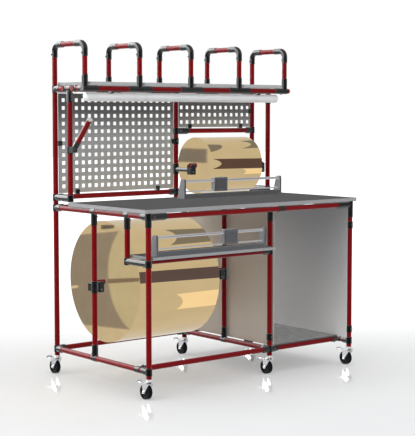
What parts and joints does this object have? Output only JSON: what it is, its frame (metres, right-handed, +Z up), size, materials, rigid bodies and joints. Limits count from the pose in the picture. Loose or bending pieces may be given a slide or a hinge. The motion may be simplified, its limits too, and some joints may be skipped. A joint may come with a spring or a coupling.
{
  "type": "packing table",
  "caption": "Wheeled packing table of jointed steel pipe, with film rolls on shafts, sliding film cutters, perforated boards, a divided top shelf and a storage bay.",
  "frame": {"origin": "on the floor under the middle of the bounding box", "axes": "+Z up, +Y to the back with the perforated boards, +X to the storage bay"},
  "size_m": [1.484, 0.941, 1.805],
  "materials": {
    "red_pipe": "glossy deep red coating",
    "grey_laminate": "dark grey laminate",
    "grey_panel": "grey semi-gloss panel",
    "grey_board": "light grey powder coat",
    "shelf_grey": "light grey board",
    "gold_film": "mirror-bright gold film",
    "cutter_grey": "dark grey coating",
    "frosted_lamp": "frosted lamp tube",
    "zinc": "bright zinc",
    "black_rubber": "black tread"
  },
  "bodies": {
    "frame": {"post_front_left": "red_pipe", "post_front_right": "red_pipe", "post_front_middle": "red_pipe", "post_rear_left": "red_pipe", "post_rear_right": "red_pipe", "post_rear_middle": "red_pipe", "base_frame_left": "red_pipe", "base_frame_middle": "red_pipe", "base_frame_right": "red_pipe", "table_frame": "red_pipe", "small_shelf_frame": "red_pipe", "board_frame": "red_pipe", "upright_left": "red_pipe", "upright_right": "red_pipe", "shelf_frame": "red_pipe", "hoop_1": "red_pipe", "hoop_2": "red_pipe", "hoop_3": "red_pipe", "hoop_4": "red_pipe", "hoop_5": "red_pipe", "worktop": "grey_laminate", "small_shelf": "grey_laminate", "shelf_board_1": "shelf_grey", "shelf_board_2": "shelf_grey", "shelf_board_3": "shelf_grey", "shelf_board_4": "shelf_grey", "pegboard_left": "grey_board", "pegboard_right": "grey_board", "bay_panel_middle": "grey_panel", "bay_panel_right": "grey_panel", "bay_floor": "grey_panel", "big_roll_shaft": "red_pipe", "small_roll_shaft": "red_pipe", "upper_cutter_frame": "cutter_grey", "lower_cutter_frame": "cutter_grey", "lamp": "frosted_lamp"},
    "holder_arm": {"holder_arm": "red_pipe"},
    "big_roll": {"big_roll": "gold_film"},
    "small_roll": {"small_roll": "gold_film"},
    "upper_carriage": {"upper_cutter_carriage": "cutter_grey"},
    "lower_carriage": {"lower_cutter_carriage": "cutter_grey"},
    "castor_front_left": {"fork_front_left": "zinc"},
    "wheel_front_left": {"wheel_front_left": "black_rubber"},
    "pedal_front_left": {"pedal_front_left": "zinc"},
    "castor_front_middle": {"fork_front_middle": "zinc"},
    "wheel_front_middle": {"wheel_front_middle": "black_rubber"},
    "pedal_front_middle": {"pedal_front_middle": "zinc"},
    "castor_front_right": {"fork_front_right": "zinc"},
    "wheel_front_right": {"wheel_front_right": "black_rubber"},
    "pedal_front_right": {"pedal_front_right": "zinc"},
    "castor_rear_left": {"fork_rear_left": "zinc"},
    "wheel_rear_left": {"wheel_rear_left": "black_rubber"},
    "pedal_rear_left": {"pedal_rear_left": "zinc"},
    "castor_rear_middle": {"fork_rear_middle": "zinc"},
    "wheel_rear_middle": {"wheel_rear_middle": "black_rubber"},
    "pedal_rear_middle": {"pedal_rear_middle": "zinc"},
    "castor_rear_right": {"fork_rear_right": "zinc"},
    "wheel_rear_right": {"wheel_rear_right": "black_rubber"},
    "pedal_rear_right": {"pedal_rear_right": "zinc"}
  },
  "joints": [
    {"name": "holder_tilt", "type": "hinge", "parent": "frame", "child": "holder_arm", "pos_m": [-0.712, 0.2065, 1.228], "axis": [-1, 0, 0], "range_deg": [-40, 38]},
    {"name": "big_roll_spin", "type": "hinge", "parent": "frame", "child": "big_roll", "pos_m": [-0.39, 0.0225, 0.54], "axis": [1, 0, 0], "continuous": true},
    {"name": "small_roll_spin", "type": "hinge", "parent": "frame", "child": "small_roll", "pos_m": [0.3305, 0.2425, 1.124], "axis": [1, 0, 0], "continuous": true},
    {"name": "upper_carriage_slide", "type": "slide", "parent": "frame", "child": "upper_carriage", "axis": [1, 0, 0], "range_m": [-0.208, 0.4]},
    {"name": "lower_carriage_slide", "type": "slide", "parent": "frame", "child": "lower_carriage", "axis": [1, 0, 0], "range_m": [-0.428, 0.18]},
    {"name": "swivel_front_left", "type": "hinge", "parent": "frame", "child": "castor_front_left", "pos_m": [-0.712, -0.4485, 0.104], "axis": [0, 0, 1], "continuous": true},
    {"name": "roll_front_left", "type": "hinge", "parent": "castor_front_left", "child": "wheel_front_left", "pos_m": [-0.712, -0.4245, 0.0375], "axis": [1, 0, 0], "continuous": true},
    {"name": "brake_front_left", "type": "hinge", "parent": "castor_front_left", "child": "pedal_front_left", "pos_m": [-0.712, -0.412, 0.0785], "axis": [-1, 0, 0], "range_deg": [0, 20]},
    {"name": "swivel_front_middle", "type": "hinge", "parent": "frame", "child": "castor_front_middle", "pos_m": [0.176, -0.3605, 0.104], "axis": [0, 0, 1], "continuous": true},
    {"name": "roll_front_middle", "type": "hinge", "parent": "castor_front_middle", "child": "wheel_front_middle", "pos_m": [0.176, -0.3365, 0.0375], "axis": [1, 0, 0], "continuous": true},
    {"name": "brake_front_middle", "type": "hinge", "parent": "castor_front_middle", "child": "pedal_front_middle", "pos_m": [0.176, -0.324, 0.0785], "axis": [-1, 0, 0], "range_deg": [0, 20]},
    {"name": "swivel_front_right", "type": "hinge", "parent": "frame", "child": "castor_front_right", "pos_m": [0.704, -0.4485, 0.104], "axis": [0, 0, 1], "continuous": true},
    {"name": "roll_front_right", "type": "hinge", "parent": "castor_front_right", "child": "wheel_front_right", "pos_m": [0.704, -0.4245, 0.0375], "axis": [1, 0, 0], "continuous": true},
    {"name": "brake_front_right", "type": "hinge", "parent": "castor_front_right", "child": "pedal_front_right", "pos_m": [0.704, -0.412, 0.0785], "axis": [-1, 0, 0], "range_deg": [0, 20]},
    {"name": "swivel_rear_left", "type": "hinge", "parent": "frame", "child": "castor_rear_left", "pos_m": [-0.712, 0.3865, 0.104], "axis": [0, 0, 1], "continuous": true},
    {"name": "roll_rear_left", "type": "hinge", "parent": "castor_rear_left", "child": "wheel_rear_left", "pos_m": [-0.712, 0.4105, 0.0375], "axis": [1, 0, 0], "continuous": true},
    {"name": "brake_rear_left", "type": "hinge", "parent": "castor_rear_left", "child": "pedal_rear_left", "pos_m": [-0.712, 0.423, 0.0785], "axis": [-1, 0, 0], "range_deg": [0, 20]},
    {"name": "swivel_rear_middle", "type": "hinge", "parent": "frame", "child": "castor_rear_middle", "pos_m": [0.176, 0.3865, 0.104], "axis": [0, 0, 1], "continuous": true},
    {"name": "roll_rear_middle", "type": "hinge", "parent": "castor_rear_middle", "child": "wheel_rear_middle", "pos_m": [0.176, 0.4105, 0.0375], "axis": [1, 0, 0], "continuous": true},
    {"name": "brake_rear_middle", "type": "hinge", "parent": "castor_rear_middle", "child": "pedal_rear_middle", "pos_m": [0.176, 0.423, 0.0785], "axis": [-1, 0, 0], "range_deg": [0, 20]},
    {"name": "swivel_rear_right", "type": "hinge", "parent": "frame", "child": "castor_rear_right", "pos_m": [0.704, 0.3865, 0.104], "axis": [0, 0, 1], "continuous": true},
    {"name": "roll_rear_right", "type": "hinge", "parent": "castor_rear_right", "child": "wheel_rear_right", "pos_m": [0.704, 0.4105, 0.0375], "axis": [1, 0, 0], "continuous": true},
    {"name": "brake_rear_right", "type": "hinge", "parent": "castor_rear_right", "child": "pedal_rear_right", "pos_m": [0.704, 0.423, 0.0785], "axis": [-1, 0, 0], "range_deg": [0, 20]}
  ]
}
